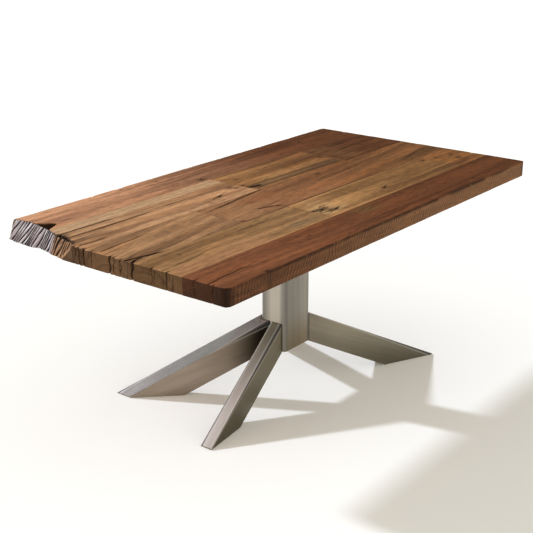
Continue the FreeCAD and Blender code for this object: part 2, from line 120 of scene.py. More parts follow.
# %% A material under construction
class Finish:
    """A material, or a world, whose nodes are added one expression at a time."""

    def __init__(self, name, world=None):
        self.material = world or bpy.data.materials.new(name)
        self.material.use_nodes = True
        self.tree = self.material.node_tree
        self.tree.nodes.clear()

    def node(self, kind, settings=None, inputs=None, output=0):
        made = self.tree.nodes.new(kind)
        for name, value in (settings or {}).items():
            setattr(made, name, value)
        for name, value in (inputs or {}).items():
            if isinstance(value, Wire):
                self.tree.links.new(value.socket, made.inputs[name])
            else:
                made.inputs[name].default_value = value
        return Wire(self, made.outputs[output]) if made.outputs else None

    def place(self):
        """Where a point lies in the table's own frame, in metres."""
        return self.node("ShaderNodeTexCoord", output="Object")

    def split(self, vector):
        """The three parts of a vector."""
        made = self.node("ShaderNodeSeparateXYZ", {}, {"Vector": vector})
        return made, made.outlet("Y"), made.outlet("Z")

    def facing(self):
        """The three parts of the direction that the surface faces."""
        return self.split(self.node("ShaderNodeNewGeometry", output="Normal"))

    def vector(self, x, y, z):
        return self.node("ShaderNodeCombineXYZ", {}, {"X": x, "Y": y, "Z": z})

    def dot(self, first, second):
        """How far one vector reaches along another."""
        settings = {"operation": "DOT_PRODUCT"}
        return self.node("ShaderNodeVectorMath", settings, {0: first, 1: second}, output="Value")

    def grey(self, value):
        """A value as a colour."""
        return self.vector(value, value, value)

    def noise(self, x, y, z, detail=2.0, roughness=0.5):
        """Cloudy value from 0 to 1; the coordinates are already scaled."""
        inputs = {"Vector": self.vector(x, y, z), "Scale": 1.0, "Detail": detail, "Roughness": roughness}
        return self.node("ShaderNodeTexNoise", {}, inputs)

    def stored(self, name):
        """A value that the mesh carries at its points."""
        return self.node("ShaderNodeAttribute", {"attribute_name": name}, output="Fac")

    def mix(self, factor, first, second, blend="MIX"):
        settings = {"data_type": "RGBA", "blend_type": blend}
        return self.node("ShaderNodeMix", settings, {0: factor, 6: first, 7: second}, output=2)

    def bump(self, height, distance, strength=1.0):
        return self.node("ShaderNodeBump", {}, {"Height": height, "Distance": distance, "Strength": strength})

    def close(self, inputs):
        """Ends the finish in a Principled shader and gives the material."""
        shader = self.node("ShaderNodeBsdfPrincipled", {}, inputs)
        self.node("ShaderNodeOutputMaterial", {}, {"Surface": shader})
        return self.material


def tone(red, green, blue):
    """Colour in linear light."""
    return (red, green, blue, 1.0)


print("a finish can be started with Finish('name')")

# %% [markdown]
# ## The camera
# The photograph was taken from the table's front left, a little above the top. Its edges, all straight and
# square on the real table, fix the lens, the place and the tilt. The roll is nil and the frame is square.

# %% Place the camera
CAMERA_PLACE = (-3.083, -2.314, 1.825)
CAMERA_YAW = math.radians(37.921)
CAMERA_PITCH = math.radians(-19.331)
LENS_MM = 76.5
SENSOR_MM = 36.0

camera_data = bpy.data.cameras.new("camera")
camera_data.lens = LENS_MM
camera_data.sensor_width = SENSOR_MM
camera = put("camera", camera_data)
camera.location = CAMERA_PLACE
camera.rotation_euler = (math.pi / 2 + CAMERA_PITCH, 0.0, CAMERA_YAW - math.pi / 2)
bpy.context.scene.camera = camera
bpy.context.scene.view_settings.view_transform = "Standard"
print("lens", LENS_MM, "mm from", CAMERA_PLACE)

# %% [markdown]
# ## Floor and light
# The floor is white and the table throws a clear, warm grey shadow across it towards the front. One sun lamp
# from behind gives that shadow its direction. The rest is a soft studio sky: brightest low down, where it
# reaches under the top, with one dim wall behind the far end, so that the satin boards mirror no white haze.

# %% White floor
FLOOR_REACH = 40.0
FLOOR_TONE = tone(0.93, 0.93, 0.93)
FLOOR_GLOW = tone(0.085, 0.08, 0.065)
NO_LIGHT = tone(0, 0, 0)

floor_mesh = bpy.data.meshes.new("floor")
corners = [(x * FLOOR_REACH, y * FLOOR_REACH, 0.0) for x, y in ((-1, -1), (1, -1), (1, 1), (-1, 1))]
floor_mesh.from_pydata(corners, [], [(0, 1, 2, 3)])
floor = put("floor", floor_mesh)
floor_finish = Finish("floor_white")
ray = floor_finish.node("ShaderNodeLightPath", output="Is Camera Ray")
seen = ray + ray.outlet("Is Glossy Ray") + ray.outlet("Is Transmission Ray")
glow = floor_finish.mix(seen, NO_LIGHT, FLOOR_GLOW)
floor_mesh.materials.append(floor_finish.close({
    "Base Color": FLOOR_TONE, "Roughness": 0.9, "Specular IOR Level": 0.0,
    "Emission Color": glow, "Emission Strength": 1.0,
}))
print("floor", 2 * FLOOR_REACH, "m across")

# %% Sun
SUN_FROM = (-0.21, 0.978)
SUN_HEIGHT = math.radians(30.5)
SUN_POWER = 2.8
SUN_WIDTH = math.radians(3.2)
SUN_COLOUR = (0.86, 0.915, 1.0)

sun_data = bpy.data.lights.new("sun", "SUN")
sun_data.energy = SUN_POWER
sun_data.angle = SUN_WIDTH
sun_data.color = SUN_COLOUR
sun = put("sun", sun_data)
sun.rotation_euler = (math.pi / 2 - SUN_HEIGHT, 0.0, math.atan2(SUN_FROM[1], SUN_FROM[0]) + math.pi / 2)
print("sun", round(math.degrees(SUN_HEIGHT)), "degrees above the floor")

# %% Studio sky
DIM_WALL = (0.74, 0.62, 0.26)
WALL_RIM = (0.45, 0.92)
WALL_LOSS = 0.8
SKY_LOW = 1.45
SKY_HIGH = 0.55
SKY_TONE = tone(1.0, 0.965, 0.87)

bpy.context.scene.world = bpy.data.worlds.new("studio")
sky = Finish("studio", bpy.context.scene.world)
looking = sky.node("ShaderNodeTexCoord", output="Generated")
_, _, upward = sky.split(looking)
towards_wall = sky.dot(looking, DIM_WALL)
brightness = SKY_LOW + upward.fade(0.0, 1.0) * (SKY_HIGH - SKY_LOW)
brightness = brightness * (1 - towards_wall.fade(*WALL_RIM) * WALL_LOSS)
light = sky.node("ShaderNodeBackground", {}, {"Color": SKY_TONE, "Strength": brightness})
sky.node("ShaderNodeOutputWorld", {}, {"Surface": light})
print("sky from", SKY_LOW, "at the floor to", SKY_HIGH, "overhead")

# %% [markdown]
# ## What is known about each board
# The top is made of old boards with histories of their own: each has its tones, its grain, its knots
# and its cracks. Their outlines come from the CAD nodes. What differs from board to board is written down
# here, in the table's own frame: a knot is a place and a radius, a crack is a path with a width and a depth,
# a split is a place and a width on the left end, and a band is a strip of another tone along the grain, with
# its two ends, its middle, its half width, its unevenness and its tone. The slope says how far the grain runs
# aside, and the ends are factors on the board's tones at its left and its right: they paint the light falling
# off from the bright back left towards the right, together with some change of the board's own tone.

# %% Boards, knots, cracks and bands
EVEN = ((1, 1, 1), (1, 1, 1))


class Board:
    """One board: its CAD box, its tones and the marks on its top."""

    def __init__(self, name, seed, pale, dark, warm, slope=0.0, ends=EVEN,
                 knots=(), cracks=(), bands=(), splits=()):
        self.name, self.node = name, "plank_" + name
        self.low, self.high = (np.array(corner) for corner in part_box(self.node))
        self.seed, self.slope = seed, slope
        self.pale, self.dark, self.warm = tone(*pale), tone(*dark), tone(*warm)
        self.ends = [tone(*end) for end in ends]
        self.knots, self.cracks, self.bands, self.splits = knots, cracks, bands, splits
        self.weathered = name in ("back", "rear_left")


BOARDS = [
    Board("back", 11, (0.33, 0.15, 0.076), (0.155, 0.066, 0.032), (0.36, 0.155, 0.075),
          ends=((1.9, 2.15, 2.4), (0.4, 0.3, 0.21)),
          knots=[(-0.08, 0.325, 0.018), (-0.36, 0.455, 0.006), (-0.2, 0.435, 0.006), (0.62, 0.4, 0.012)],
          cracks=[([(-0.3, 0.415), (-0.12, 0.41)], 0.0015, 0.002),
                  ([(0.3, 0.3), (0.6, 0.298), (0.89, 0.3)], 0.006, 0.005)]),
    Board("rear_left", 23, (0.46, 0.26, 0.14), (0.24, 0.118, 0.058), (0.46, 0.235, 0.115),
          ends=((1.12, 1.14, 1.14), (1.0, 0.98, 0.95)),
          knots=[(-0.21, 0.13, 0.012), (-0.1, 0.175, 0.016), (-0.09, 0.15, 0.01)],
          cracks=[([(-0.89, 0.24), (-0.75, 0.237), (-0.6, 0.232)], 0.005, 0.006),
                  ([(-0.89, 0.196), (-0.7, 0.188), (-0.45, 0.19)], 0.004, 0.005),
                  ([(-0.88, 0.112), (-0.83, 0.106), (-0.77, 0.105)], 0.004, 0.004),
                  ([(-0.27, 0.115), (-0.22, 0.128), (-0.18, 0.142)], 0.003, 0.003)],
          splits=[(0.12, 0.007), (0.1, 0.009), (0.081, 0.012)],
          bands=[(-0.9, -0.06, 0.268, 0.03, 0.02, (0.47, 0.3, 0.175)),
                 (-0.9, -0.06, 0.158, 0.022, 0.03, (0.48, 0.255, 0.13))]),
    Board("rear_middle", 37, (0.32, 0.16, 0.065), (0.15, 0.068, 0.028), (0.3, 0.135, 0.05),
          slope=0.012, ends=((1.15, 1.15, 1.1), (0.7, 0.63, 0.56)),
          knots=[(0.465, 0.185, 0.012), (0.2, 0.25, 0.007), (0.0, 0.23, 0.01), (-0.05, 0.155, 0.012)],
          cracks=[([(-0.058, 0.124), (-0.03, 0.116), (0.01, 0.11)], 0.02, 0.003),
                  ([(-0.055, 0.134), (0.1, 0.138), (0.4, 0.134)], 0.0012, 0.0015),
                  ([(-0.04, 0.094), (0.2, 0.092), (0.47, 0.094)], 0.0015, 0.002),
                  ([(0.465, 0.205), (0.468, 0.17), (0.482, 0.14)], 0.005, 0.004)],
          bands=[(-0.05, 0.47, 0.114, 0.022, 0.006, (0.125, 0.068, 0.034)),
                 (-0.02, 0.47, 0.116, 0.004, 0.006, (0.22, 0.125, 0.065)),
                 (0.05, 0.42, 0.16, 0.02, 0.03, (0.37, 0.195, 0.082))]),
    Board("rear_right", 41, (0.125, 0.043, 0.014), (0.053, 0.017, 0.006), (0.135, 0.045, 0.013),
          cracks=[([(0.6, 0.2), (0.82, 0.196)], 0.003, 0.003)],
          bands=[(0.48, 0.6, 0.2, 0.12, 0.1, (0.19, 0.085, 0.034))]),
    Board("centre_left", 53, (0.38, 0.205, 0.1), (0.185, 0.094, 0.045), (0.36, 0.175, 0.08),
          slope=-0.12,
          cracks=[([(-0.9, -0.097), (-0.84, -0.109), (-0.755, -0.128)], 0.008, 0.008),
                  ([(-0.88, 0.02), (-0.66, 0.035)], 0.003, 0.003),
                  ([(-0.9, -0.12), (-0.87, -0.115), (-0.84, -0.11)], 0.006, 0.006)],
          splits=[(0.042, 0.005), (-0.027, 0.012), (-0.049, 0.007), (-0.076, 0.007), (-0.122, 0.013)]),
    Board("centre_right", 67, (0.29, 0.135, 0.063), (0.145, 0.064, 0.03), (0.31, 0.125, 0.052),
          slope=-0.08, ends=((0.98, 0.94, 0.92), (0.74, 0.68, 0.52)),
          knots=[(0.25, 0.04, 0.013), (-0.392, -0.119, 0.01)],
          cracks=[([(-0.37, 0.037), (-0.2, 0.058), (-0.03, 0.074)], 0.005, 0.005),
                  ([(-0.26, -0.062), (-0.225, -0.078), (-0.19, -0.09), (-0.15, -0.112)], 0.006, 0.006),
                  ([(-0.39, -0.128), (0.0, -0.127), (0.55, -0.128)], 0.0025, 0.003),
                  ([(0.66, -0.084), (0.78, -0.062), (0.9, -0.048)], 0.0035, 0.003)],
          bands=[(-0.42, -0.22, -0.02, 0.14, 0.1, (0.31, 0.165, 0.08)),
                 (0.6, 0.92, -0.095, 0.03, 0.04, (0.14, 0.07, 0.03))]),
    Board("near_left", 71, (0.34, 0.183, 0.08), (0.165, 0.085, 0.035), (0.34, 0.172, 0.072),
          cracks=[([(-0.86, -0.235), (-0.7, -0.232)], 0.002, 0.003),
                  ([(-0.5, -0.17), (-0.33, -0.175)], 0.0015, 0.002)],
          bands=[(-0.9, -0.47, -0.285, 0.032, 0.02, (0.36, 0.178, 0.084)),
                 (-0.36, -0.2, -0.282, 0.02, 0.03, (0.21, 0.13, 0.066))],
          splits=[(-0.2, 0.004), (-0.258, 0.005)]),
    Board("near_middle", 83, (0.37, 0.192, 0.08), (0.185, 0.09, 0.036), (0.36, 0.19, 0.075),
          slope=0.01, ends=((1.12, 1.12, 1.08), (0.68, 0.63, 0.55)),
          knots=[(-0.128, -0.24, 0.024), (-0.158, -0.232, 0.009), (-0.088, -0.272, 0.013),
                 (-0.1, -0.235, 0.009), (-0.115, -0.275, 0.008), (0.24, -0.255, 0.012),
                 (0.665, -0.165, 0.011)],
          cracks=[([(-0.17, -0.226), (-0.13, -0.241), (-0.1, -0.236)], 0.0045, 0.003),
                  ([(-0.155, -0.256), (-0.12, -0.244), (-0.095, -0.247)], 0.0028, 0.002),
                  ([(-0.13, -0.259), (-0.09, -0.272), (-0.05, -0.267)], 0.0038, 0.003),
                  ([(-0.118, -0.228), (-0.1, -0.216), (-0.06, -0.22)], 0.002, 0.002),
                  ([(-0.18, -0.262), (-0.15, -0.266), (-0.11, -0.28)], 0.002, 0.002),
                  ([(0.225, -0.262), (0.25, -0.253), (0.27, -0.244)], 0.0025, 0.002)],
          bands=[(-0.15, -0.07, -0.175, 0.03, 0.05, (0.47, 0.29, 0.14)),
                 (-0.19, -0.06, -0.25, 0.045, 0.05, (0.45, 0.275, 0.135))]),
    Board("near_right", 97, (0.24, 0.1, 0.031), (0.105, 0.041, 0.014), (0.26, 0.104, 0.031),
          knots=[(0.82, -0.2, 0.012), (0.8, -0.245, 0.014), (0.74, -0.175, 0.01)]),
    Board("front", 101, (0.195, 0.075, 0.034), (0.095, 0.035, 0.016), (0.21, 0.076, 0.032),
          ends=((1.0, 0.95, 0.9), (0.64, 0.55, 0.4)),
          knots=[(-0.715, -0.473, 0.013), (-0.28, -0.46, 0.007), (0.55, -0.44, 0.012)],
          cracks=[([(-0.9, -0.412), (-0.8, -0.404), (-0.69, -0.402)], 0.003, 0.004)],
          bands=[(-0.08, 0.02, -0.355, 0.03, 0.06, (0.155, 0.088, 0.04))],
          splits=[(-0.362, 0.004), (-0.425, 0.006)]),
]
for mark in ("knots", "cracks", "bands", "splits"):
    print(sum(len(getattr(board, mark)) for board in BOARDS), mark)

# %% [markdown]
# ## The shell of a board
# A board could be one box with a bump map, but its cracks, worn edges and broken end should catch the light
# from every side. So each board starts as a grid of points on a box, close together at the edges where the
# wood is rounded, and only the places with cracks, knots or a broken end are divided again.

# %% A box of quads
EDGE_ROW = 0.003
STEP_ALONG, STEP_ACROSS, STEP_UP = 0.012, 0.006, 0.008
SEAM_GAP = 0.00005
CHANNEL_GAP = 0.0005
channels = [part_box("batten_left"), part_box("batten_right")]


def stations(start, end, step, extra=()):
    """Positions along one side of a board, close together at both ends."""
    count = max(2, round((end - start) / step))
    rim = EDGE_ROW * np.array([0.0, 0.3, 0.65])
    middle = np.linspace(start + EDGE_ROW, end - EDGE_ROW, count + 1)
    kept = [value for value in middle if all(abs(value - other) > step / 4 for other in extra)]
    inside = [value for value in extra if start + EDGE_ROW < value < end - EDGE_ROW]
    return np.array(sorted([*(start + rim), *kept, *inside, *(end - rim)]))


def in_channel(x, y):
    """True where the underside is open for a steel channel."""
    return any(low[0] < x + CHANNEL_GAP and x - CHANNEL_GAP < high[0] and low[1] < y < high[1]
               for low, high in channels)


def board_shell(low, high):
    """Closed box of quads, open only where the steel channels are let in."""
    channel_x = [limit for near, far in channels for limit in (near[0] - CHANNEL_GAP, far[0] + CHANNEL_GAP)]
    channel_y = [corner[1] for corner in channels[0]]
    xs = stations(low[0], high[0], STEP_ALONG, channel_x)
    ys = stations(low[1], high[1], STEP_ACROSS, channel_y)
    zs = stations(low[2], high[2], STEP_UP)
    mesh = bmesh.new()
    made = {}

    def point(i, j, k):
        if (i, j, k) not in made:
            made[i, j, k] = mesh.verts.new((xs[i], ys[j], zs[k]))
        return made[i, j, k]

    def sheet(columns, rows, at, turned):
        for a in range(columns - 1):
            for b in range(rows - 1):
                quad = [at(a, b), at(a + 1, b), at(a + 1, b + 1), at(a, b + 1)]
                mesh.faces.new(quad[::-1] if turned else quad)

    nx, ny, nz = len(xs), len(ys), len(zs)
    sheet(nx, ny, lambda i, j: point(i, j, nz - 1), False)
    sheet(nx, nz, lambda i, k: point(i, 0, k), False)
    sheet(nx, nz, lambda i, k: point(i, ny - 1, k), True)
    sheet(ny, nz, lambda j, k: point(0, j, k), True)
    sheet(ny, nz, lambda j, k: point(nx - 1, j, k), False)
    for i in range(nx - 1):
        for j in range(ny - 1):
            if not in_channel((xs[i] + xs[i + 1]) / 2, (ys[j] + ys[j + 1]) / 2):
                under = ((i, j), (i, j + 1), (i + 1, j + 1), (i + 1, j))
                mesh.faces.new([point(a, b, 0) for a, b in under])
    return mesh


print("channels at x", [round(float(low[0] + high[0]) / 2, 3) for low, high in channels])

# %% [markdown]
# ## Marks as depths
# Every mark is a depth over the surface: how far the wood lies below the plane of the box. A crack's depth
# falls away from its path and tapers at both ends, and its path wavers a little, as a split along the grain
# does. The same depths are stored on the mesh, so that the finish can paint shade into what lies deep.

# %% Wavering values and crack depths
CRACK_WANDER, CRACK_JITTER = 0.0012, 0.0004
CRACK_TIP = 0.04
OPEN_END = 0.03
KNOT_DISH, KNOT_HEART = 0.0005, 0.001


def limited(value):
    """A value held between 0 and 1."""
    return np.clip(value, 0.0, 1.0)


def ripple(u, seed, v=0.0):
    """Smooth value that wanders between about -1 and 1 as u and v change by a few units."""
    dice = np.random.default_rng(seed)
    total = np.zeros_like(u)
    for _ in range(7):
        step_u, step_v = dice.normal(size=2)
        total += np.sin(u * step_u + v * step_v + dice.uniform(0.0, 2 * math.pi))
    return total / 3.2


def along_path(x, y, path):
    """Distance from a path of straight runs, and the share of its length that lies behind."""
    ends = np.array(path)
    runs = np.linalg.norm(np.diff(ends, axis=0), axis=1)
    before = np.concatenate([[0.0], np.cumsum(runs)])
    best = np.full_like(x, 9.0)
    share = np.zeros_like(x)
    for start, end, run, done in zip(ends, ends[1:], runs, before):
        way = (end - start) / run
        t = np.clip((x - start[0]) * way[0] + (y - start[1]) * way[1], 0.0, run)
        distance = np.hypot(x - start[0] - way[0] * t, y - start[1] - way[1] * t)
        share = np.where(distance < best, (done + t) / before[-1], share)
        best = np.minimum(best, distance)
    return best, share


def crack_depth(board, x, y):
    """Depth of all of a board's cracks at points of its top, and how far they have stained the wood."""
    depth = np.zeros_like(x)
    stain_and_rim_shade = np.zeros_like(x)
    for number, (path, width, deepest) in enumerate(board.cracks):
        wander = CRACK_WANDER * ripple(x * 45, board.seed + number)
        jitter = CRACK_JITTER * ripple(x * 170, board.seed)
        distance, share = along_path(x, y + (wander + jitter), path)
        start = 0.5 if path[0][0] < board.low[0] + OPEN_END else CRACK_TIP
        taper = limited(np.sin(math.pi * np.clip(share, start, 1 - CRACK_TIP)) * 1.6)
        half = width / 2 * taper * (1 + 0.22 * ripple(x * 60, board.seed + 7))
        depth = np.maximum(depth, deepest * taper * limited(1 - (distance / half) ** 2))
        stain_and_rim_shade = np.maximum(stain_and_rim_shade, taper * np.exp(-(distance / (0.0012 + 0.8 * width)) ** 2))
    return depth, stain_and_rim_shade


def knot_depth(board, x, y):
    """Shallow dish with a small open heart at each knot."""
    depth = np.zeros_like(x)
    for kx, ky, radius in board.knots:
        distance = np.hypot((x - kx) / 1.5, y - ky) / radius + 0.35 * ripple(x * 130, board.seed, y * 200)
        dish = KNOT_DISH * np.exp(-distance ** 2) + KNOT_HEART * np.exp(-(distance * 3.0) ** 2)
        depth = np.maximum(depth, dish)
    return depth


sample, _ = crack_depth(BOARDS[1], np.array([-0.75]), np.array([0.237]))
print("depth on a crack's path", round(float(sample[0]) * 1000, 1), "mm")

# %% [markdown]
# ## The weathered end
# Two boards at the back keep the end they had outdoors: it slopes outwards to its foot, its rim wanders, and
# rain has washed the soft wood out between the hard fibres, which stand as silver flutes. The rim and the
# foot are two curves across the table, and flutes of uneven width run down the slope between them.

# %% Rim, foot and flutes
OLD_RIM = [(0.075, -0.9), (0.13, -0.899), (0.152, -0.88), (0.236, -0.864), (0.312, -0.834),
           (0.38, -0.819), (0.433, -0.818), (0.465, -0.828), (0.48, -0.826)]
OLD_FOOT = [(0.075, -0.9), (0.17, -0.899), (0.236, -0.886), (0.317, -0.866), (0.356, -0.876),
            (0.4, -0.872), (0.432, -0.869), (0.468, -0.86), (0.48, -0.842)]
OLD_REACH = 0.15
OLD_FROM, OLD_LEAN = 0.131, 0.048
FLUTE_PITCH = 0.0132
FLUTE_DEPTH = 0.0065
SILVER_FROM, SILVER_TO = 0.245, 0.478
GOUGE_X, GOUGE_Y, GOUGE_LENGTH, GOUGE_DEPTH = -0.845, 0.36, 0.08, 0.018
POCKET_X, POCKET_Y, POCKET_DEPTH = -0.862, 0.215, 0.009


def old_end(y, down):
    """Place along the table of the weathered end; down is 0 at the rim and 1 at the foot."""
    rim = np.interp(y, *zip(*OLD_RIM))
    foot = np.interp(y, *zip(*OLD_FOOT))
    return rim + (foot - rim) * down


def past_border(y, down):
    """How far a point lies on the weathered side of the border, which leans as it goes down."""
    return y - OLD_FROM - OLD_LEAN * down


def old_share(y, down):
    """0 on the sawn part of the end and 1 on the weathered part."""
    return limited(past_border(y, down) / 0.004)


def flute(y, down):
    """1 on the crest of a flute and 0 in the groove beside it, with one broad flute along the border."""
    phase = y / FLUTE_PITCH + 0.55 * ripple(y * 60, 5, down * 1.2) - 1.1 * down
    crest = np.abs(np.sin(math.pi * phase)) ** 0.8
    border = limited(1.6 - past_border(y, down) / 0.012)
    return limited(np.maximum(border, crest * (0.95 + 0.3 * ripple(y * 110, 6, down * 2))))


def pit_depth(x, y):
    """Two rotten places behind the rim: a gouge that points towards the middle, and a pocket."""
    along = limited((x - GOUGE_X) / GOUGE_LENGTH)
    half = 0.058 * (1 - along) + 0.002
    aside = np.abs(y - GOUGE_Y + 0.022 * along + 0.003 * ripple(x * 160, 8, y * 90)) / half
    gouge = GOUGE_DEPTH * limited(1.5 - 1.3 * aside) * limited((1 - along) * 6)
    off_x, off_y = x - POCKET_X, y - POCKET_Y
    pocket = np.hypot((off_x - 0.15 * off_y) / 0.017, off_y / 0.05) + 0.2 * ripple(x * 200, 9, y * 150)
    return np.maximum(gouge, POCKET_DEPTH * limited(2.2 - 2.0 * pocket))


print("the rim wanders over", round(1000 * (OLD_RIM[4][1] - OLD_RIM[0][1])), "mm")

# %% [markdown]
# ## Shaping a board
# Now the points of the box move to where the real surface is. First the edges are rounded: a point near an
# edge is pushed on to an ellipse whose radii vary along the edge, small at the seams and larger, with chips,
# on the outside of the top. Then the old end is drawn back and fluted, and the marks are sunk in.

# %% Round the edges
OUTSIDE = {"front": -0.48, "back": 0.48, "left": -0.9, "right": 0.9}
TOUCHING = 0.001
TINY = 1e-6
SEAM_RADIUS, OUTER_RADIUS, CHIP_RADIUS = 0.0003, 0.0032, 0.008
CORNER_RADIUS = 0.022


def edge_radius(value, side, run, upper, seed):
    """Radius along an edge: crisp at a seam, worn on the outside of the top and chipped on its upper edge."""
    wander = ripple(run * 25, seed)
    if abs(value - OUTSIDE[side]) > TOUCHING:
        return SEAM_RADIUS + 0.0001 * wander
    chips = limited(ripple(run * 90, seed + 1) - 0.75)
    return OUTER_RADIUS + 0.0008 * wander + CHIP_RADIUS * chips * upper


def side_pull(value, low, high, low_radius, high_radius):
    """How far past the flat part a coordinate lies, as a share of the radius there, and that radius."""
    radius = np.where(value < (low + high) / 2, low_radius, high_radius)
    below = limited((low + radius - value) / radius)
    above = limited((value - high + radius) / radius)
    return above - below, radius


def round_corner(made, end, side):
    """Rounds one upright outer corner of the top."""
    past_x = CORNER_RADIUS - np.abs(made[:, 0] - end)
    past_y = CORNER_RADIUS - np.abs(made[:, 1] - side)
    past = np.hypot(past_x, past_y)
    excess = np.maximum(0.0, past - CORNER_RADIUS) / np.maximum(past, TINY)
    excess = np.where((past_x > 0) & (past_y > 0), excess, 0.0)
    made[:, 0] -= np.sign(end) * past_x * excess
    made[:, 1] -= np.sign(side) * past_y * excess


def rounded(board, points):
    """The box's points with the edges rounded."""
    x, y, z = points.T
    low, high = board.low, board.high
    upper = z > (low[2] + high[2]) / 2
    left = edge_radius(low[0], "left", y, upper, board.seed)
    right = edge_radius(high[0], "right", y, upper, board.seed + 2)
    front = edge_radius(low[1], "front", x, upper, board.seed + 4)
    back = edge_radius(high[1], "back", x, upper, board.seed + 6)
    pull_x, radius_x = side_pull(x, low[0], high[0], left, right)
    pull_y, radius_y = side_pull(y, low[1], high[1], front, back)
    weight = np.abs(pull_x) + np.abs(pull_y) + TINY
    radius_z = (np.abs(pull_x) * radius_x + (np.abs(pull_y) + TINY) * radius_y) / weight
    pull_z, radius_z = side_pull(z, low[2], high[2], radius_z, radius_z)
    pulls = np.stack([pull_x, pull_y, pull_z], axis=1)
    length = np.maximum(1.0, np.linalg.norm(pulls, axis=1))
    radii = np.stack([radius_x, radius_y, radius_z], axis=1)
    made = points - pulls * radii * (1 - 1 / length)[:, None]
    for end in (low[0], high[0]):
        for side in (low[1], high[1]):
            if abs(abs(end) - OUTSIDE["right"]) < TOUCHING and abs(abs(side) - OUTSIDE["back"]) < TOUCHING:
                round_corner(made, end, side)
    return made


print("seam edges nearly sharp, outer edges about", round(1000 * OUTER_RADIUS), "mm round")

# %% Draw back the old end and sink the marks
HOLLOW_FROM = 0.0025
SPLIT_DEPTH, SPLIT_NOTCH, SPLIT_REACH = 0.008, 0.004, 0.012
WORN_DEPTH = 0.00025


def weather(board, made, x, y, down, top):
    """Draws back and flutes the old end; gives the depth of the pits, the marks they leave, the painted shade
    in the grooves and the painted shadow behind the rim.
    """
    away = x - board.low[0]
    made[:, 0] += (old_end(y, down) - board.low[0]) * limited(1 - away / OLD_REACH) ** 1.5
    share, crest = old_share(y, down), flute(y, down)
    made[:, 0] += FLUTE_DEPTH * (1 - crest) * np.exp(-away / 0.007) * share
    pit = np.where(top, pit_depth(made[:, 0], y), 0.0)
    old = np.exp(-away / 0.005) * share
    silver = np.clip((y - SILVER_FROM) / 0.02 + 0.5, 0.06, 1.0) * np.clip((SILVER_TO - y) / 0.012, 0.15, 1.0)
    # Painted shade: the grooves between the flutes go into the hollow values, and a painted shadow along the
    # top just behind the rim, widest near y = 0.21, goes in with the stains.
    grooves = old * limited(2.8 * (0.84 - crest))
    rim_shadow_width = 0.007 + 0.02 * np.exp(-((y - 0.212) / 0.045) ** 2)
    painted_rim_shadow = limited(1.9 - away / (rim_shadow_width * (1 + 0.35 * ripple(y * 120, 12))))
    hollow = np.maximum(grooves, limited(pit / 0.006))
    stain_and_rim_shade = np.where(top, painted_rim_shadow * share, 0.0)
    return pit, {"hollow": hollow, "stain_and_rim_shade": stain_and_rim_shade, "silver": old * silver, "old": old}


def shaped(board, points):
    """Final places of a board's points, with what is hollow, stained, under painted shadow and weathered
    there.
    """
    x, y, z = points.T
    made = rounded(board, points)
    top = z > board.high[2] - TINY
    down = limited((board.high[2] - z) / (board.high[2] - board.low[2]))
    depth, stain_and_rim_shade = crack_depth(board, x, y)
    sunk = np.where(top, depth + knot_depth(board, x, y), 0.0)
    none = np.zeros_like(x)
    marks = {"hollow": limited(sunk / HOLLOW_FROM), "stain_and_rim_shade": np.where(top, stain_and_rim_shade, 0.0),
             "silver": none, "old": none}
    if board.weathered:
        pit, left = weather(board, made, x, y, down, top)
        sunk = sunk + pit
        marks = {name: np.maximum(values, left[name]) for name, values in marks.items()}
    for split_y, width in board.splits:
        waver = 0.004 * ripple(z * 90, int(abs(split_y) * 1e4))
        gap = limited(1 - ((y - split_y + waver) / (width / 2)) ** 2)
        gap = gap * np.exp(-(x - board.low[0]) / SPLIT_REACH)
        made[:, 0] += SPLIT_DEPTH * gap
        sunk = sunk + np.where(top, SPLIT_NOTCH * gap, 0.0)
        marks["hollow"] = np.maximum(marks["hollow"], gap)
    worn = np.maximum(0.0, WORN_DEPTH * (1 + ripple(x * 9, board.seed + 9, y * 40)))
    made[:, 2] -= np.where(top, sunk + worn, 0.0)
    return made, marks


print("splits run", round(1000 * SPLIT_DEPTH), "mm into the left end")

# %% [markdown]
# ## Dividing where there is detail
# A fine grid over the whole top would be wasteful, so edges are divided only near marks: once for the
# surroundings of a crack or knot, twice on the crack itself, and twice on the weathered end, whose upright
# edges are spared the second time, because its flutes run down.

# %% Fine where it matters
COARSE_REACH, FINE_REACH = 0.01, 0.004
CUTS = 2
SPLIT_ZONE = 0.02
PIT_ZONES = [((-0.85, 0.07), (0.355, 0.06)), ((-0.88, 0.04), (0.215, 0.07))]


def near_marks(board, points, reach):
    """True at points of the top that lie within a reach of a crack, knot, split or the old end."""
    x, y, z = points.T
    close = np.zeros(len(x), bool)
    for path, width, _ in board.cracks:
        close |= along_path(x, y, path)[0] < reach + width / 2
    for kx, ky, radius in board.knots:
        close |= np.hypot(x - kx, y - ky) < radius * 0.8 + reach / 2
    on_top = z > board.high[2] - TINY
    close &= on_top
    for split_y, width in board.splits:
        close |= (np.abs(y - split_y) < reach + width) & (x - board.low[0] < SPLIT_ZONE)
    if board.weathered:
        close |= (x - board.low[0] < 4 * reach) & (z > board.low[2] + TINY)
        for (zone_x, half_x), (zone_y, half_y) in PIT_ZONES:
            close |= (np.abs(x - zone_x) < half_x) & (np.abs(y - zone_y) < half_y) & on_top
    return close


def divide(board, mesh, reach, upright=True):
    """Divides the edges that lie near a board's marks; upright ones can be spared."""
    ends = np.array([[vert.co[:] for vert in edge.verts] for edge in mesh.edges])
    chosen = near_marks(board, ends.mean(axis=1), reach)
    if not upright:
        chosen &= np.abs(ends[:, 0, 2] - ends[:, 1, 2]) < TINY
    edges = [edge for edge, close in zip(list(mesh.edges), chosen) if close]
    bmesh.ops.subdivide_edges(mesh, edges=edges, cuts=CUTS, use_grid_fill=True)


